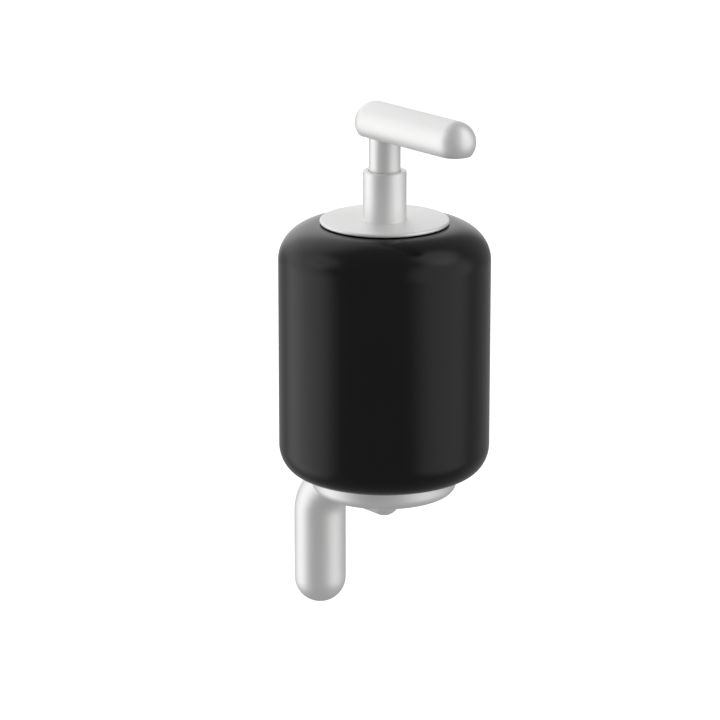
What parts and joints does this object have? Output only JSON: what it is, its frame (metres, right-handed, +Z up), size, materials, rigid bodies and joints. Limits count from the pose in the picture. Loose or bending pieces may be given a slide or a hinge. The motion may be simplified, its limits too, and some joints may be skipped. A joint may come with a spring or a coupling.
{
  "type": "soap pump dispenser",
  "caption": "Wall-mounted soap dispenser: a rounded ceramic container in a dish on a bent bracket arm, with a press pump and a swivelling capsule-shaped spout.",
  "frame": {"origin": "on the wall plane, at the centre of the wall plate's back face, halfway between its two screw holes", "axes": "+Z up, +Y into the wall; the front faces -Y and +X is to the right as seen from the front"},
  "size_m": [0.085, 0.0994, 0.219],
  "materials": {
    "satin_metal": "satin",
    "plain_steel": "plain",
    "spring_steel": "polished",
    "black_ceramic": "silk glaze",
    "white_plastic": "moulded",
    "clear_tube": "milky",
    "black_rubber": "matte",
    "black_plastic": "moulded",
    "grey_plastic": "moulded"
  },
  "bodies": {
    "bracket": {"wall_plate": "plain_steel", "bracket_arm": "satin_metal", "bracket_grub_screw": "plain_steel", "holder_dish": "satin_metal", "dish_screws": "plain_steel", "dish_pad": "black_rubber"},
    "container": {"container": "black_ceramic", "neck_insert": "black_plastic"},
    "pump": {"cover_plate": "satin_metal", "collar": "satin_metal", "collar_bush": "white_plastic", "closure": "white_plastic", "closure_gasket": "black_rubber", "pump_housing": "white_plastic", "stem_guide": "white_plastic", "guide_wiper": "black_rubber", "dip_tube": "clear_tube", "spring_seat": "white_plastic", "return_spring": "spring_steel"},
    "inlet_valve": {"inlet_ball": "spring_steel"},
    "plunger": {"piston": "white_plastic", "piston_seal": "black_rubber"},
    "head": {"stem": "white_plastic", "outlet_seat": "white_plastic", "plunger_sleeve": "satin_metal", "spout": "satin_metal", "spout_liner": "clear_tube", "nozzle": "grey_plastic"},
    "outlet_valve": {"outlet_ball": "spring_steel"}
  },
  "joints": [
    {"name": "container_lift", "type": "slide", "parent": "bracket", "child": "container", "axis": [0, 0, 1], "range_m": [0, 0.03]},
    {"name": "pump_lift", "type": "slide", "parent": "container", "child": "pump", "axis": [0, 0, 1], "range_m": [0, 0.11]},
    {"name": "inlet_ball_lift", "type": "slide", "parent": "pump", "child": "inlet_valve", "axis": [0, 0, 1], "range_m": [0, 0.0015]},
    {"name": "press", "type": "slide", "parent": "pump", "child": "plunger", "axis": [0, 0, -1], "range_m": [0, 0.012], "stiffness_N_per_m": 600, "springref_m": -0.008, "deforming": ["return_spring"]},
    {"name": "spout_swivel", "type": "hinge", "parent": "plunger", "child": "head", "pos_m": [0, -0.049, 0.16], "axis": [0, 0, 1], "range_deg": [-160, 160]},
    {"name": "outlet_ball_lift", "type": "slide", "parent": "head", "child": "outlet_valve", "axis": [0, 0, 1], "range_m": [0, 0.0015]}
  ]
}
